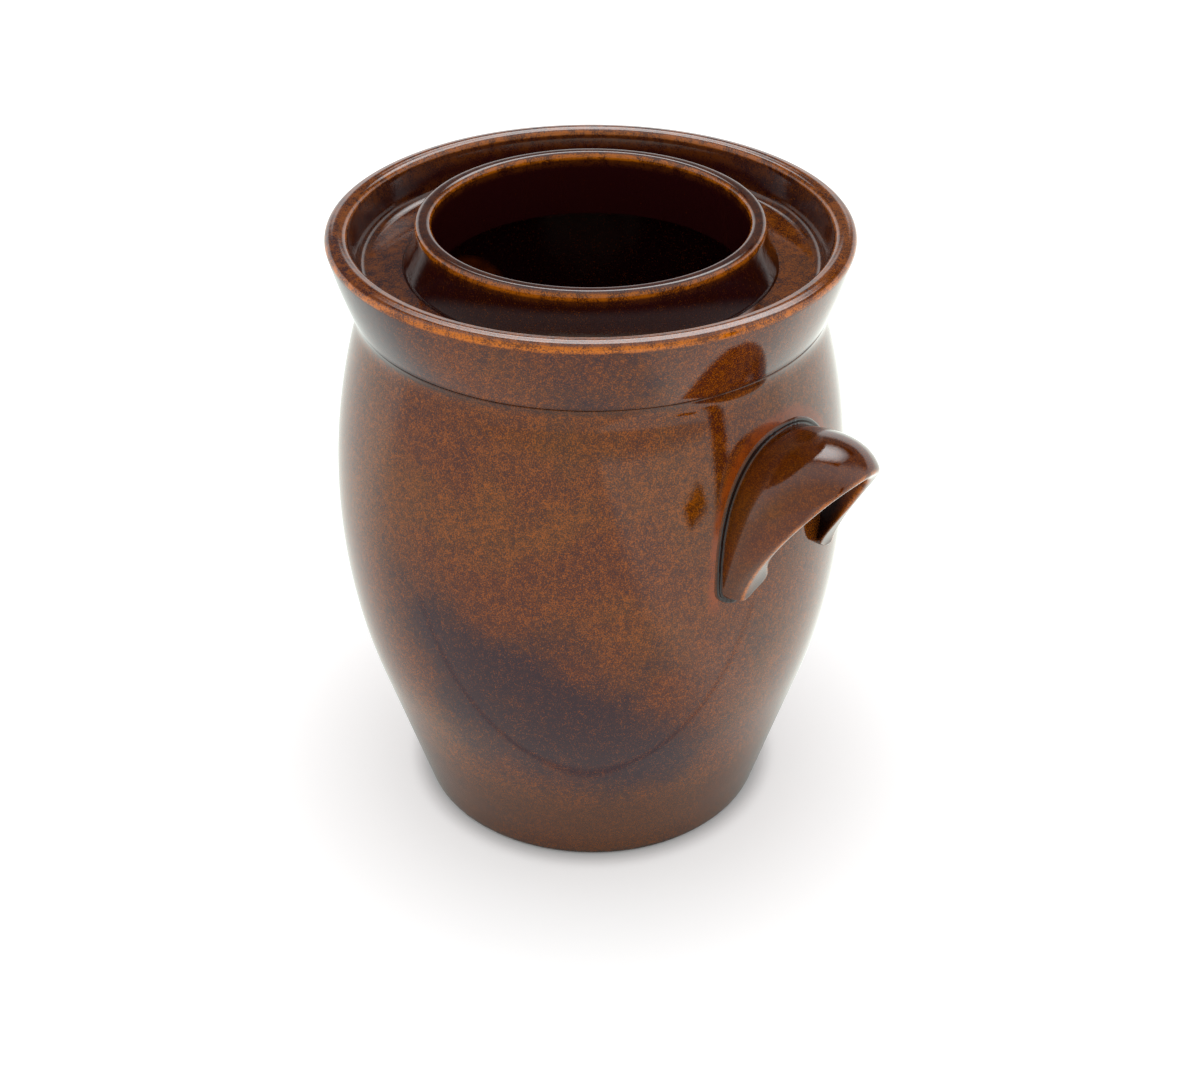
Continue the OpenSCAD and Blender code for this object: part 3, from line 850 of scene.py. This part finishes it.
def bare_stoneware():
    material = bpy.data.materials.new("bare_stoneware")
    material.use_nodes = True
    tree = material.node_tree
    tree.nodes.clear()
    place = node(tree, "ShaderNodeTexCoord").outputs["Object"]
    flash = node(tree, "ShaderNodeTexNoise", "flashing", Vector=place, Scale=22.0, Detail=4.0, Roughness=0.6)
    grog = node(tree, "ShaderNodeTexVoronoi", "grog", Vector=place, Scale=420.0)
    iron = node(tree, "ShaderNodeTexVoronoi", "iron spots", Vector=place, Scale=110.0)
    sand = node(tree, "ShaderNodeTexNoise", "sand", Vector=place, Scale=1400.0, Detail=3.0, Roughness=0.7)
    colour = tint(tree, ramp(tree, flash.outputs["Fac"], 0.35, 0.65), CLAY_PALE, CLAY_FLASHED)
    colour = tint(tree, calc(tree, "MULTIPLY", sand.outputs["Fac"], 0.35), colour, SAND)
    colour = tint(tree, ramp(tree, iron.outputs["Distance"], 0.16, 0.06), colour, IRON_SPOT)
    colour = tint(tree, ramp(tree, grog.outputs["Distance"], 0.30, 0.12, 0.0, 0.5), colour, GROG)
    relief = node(tree, "ShaderNodeBump", Strength=0.35, Distance=0.0004, Height=sand.outputs["Fac"])
    shader = node(tree, "ShaderNodeBsdfPrincipled", Base_Color=colour, Roughness=0.85, Normal=relief.outputs[0])
    link(tree, shader.outputs[0], node(tree, "ShaderNodeOutputMaterial").inputs["Surface"])
    return material


stoneware = bare_stoneware()
for side, way in (("right", 1), ("left", -1)):
    bpy.ops.object.select_all(action="DESELECT")
    bpy.ops.mesh.primitive_cylinder_add(
        vertices=STONE_SIDES, radius=STONE_R, depth=STONE_T, location=(0, 0, STONE_Z + STONE_T / 2))
    stone = bpy.context.object
    stone.name = "weight_stone_%s_bare" % side
    stone.data.name = stone.name
    bpy.ops.object.transform_apply(location=True, rotation=True, scale=True)
    bpy.ops.object.mode_set(mode="EDIT")
    bpy.ops.mesh.select_all(action="SELECT")
    bpy.ops.mesh.bisect(
        plane_co=(way * STONE_GAP / 2, 0, 0), plane_no=(way, 0, 0), use_fill=True, clear_inner=True)
    bpy.ops.object.mode_set(mode="OBJECT")
    bpy.ops.object.modifier_add(type="BEVEL")
    soften = stone.modifiers[-1]
    soften.width = STONE_ROUND
    soften.segments = 5
    soften.limit_method = "ANGLE"
    bpy.ops.object.modifier_apply(modifier=soften.name)
    bpy.ops.object.modifier_add(type="REMESH")
    remesh = stone.modifiers[-1]
    remesh.mode = "VOXEL"
    remesh.voxel_size = STONE_VOXEL
    bpy.ops.object.modifier_apply(modifier=remesh.name)
    bpy.ops.object.modifier_add(type="SMOOTH")
    smooth = stone.modifiers[-1]
    smooth.iterations = STONE_SMOOTHING
    bpy.ops.object.modifier_apply(modifier=smooth.name)
    unevenness(stone, 0.018, 0.0005)
    stone.data.materials.append(stoneware)
    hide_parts("weight_stone_" + side)
    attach(stone, "stone_" + side)
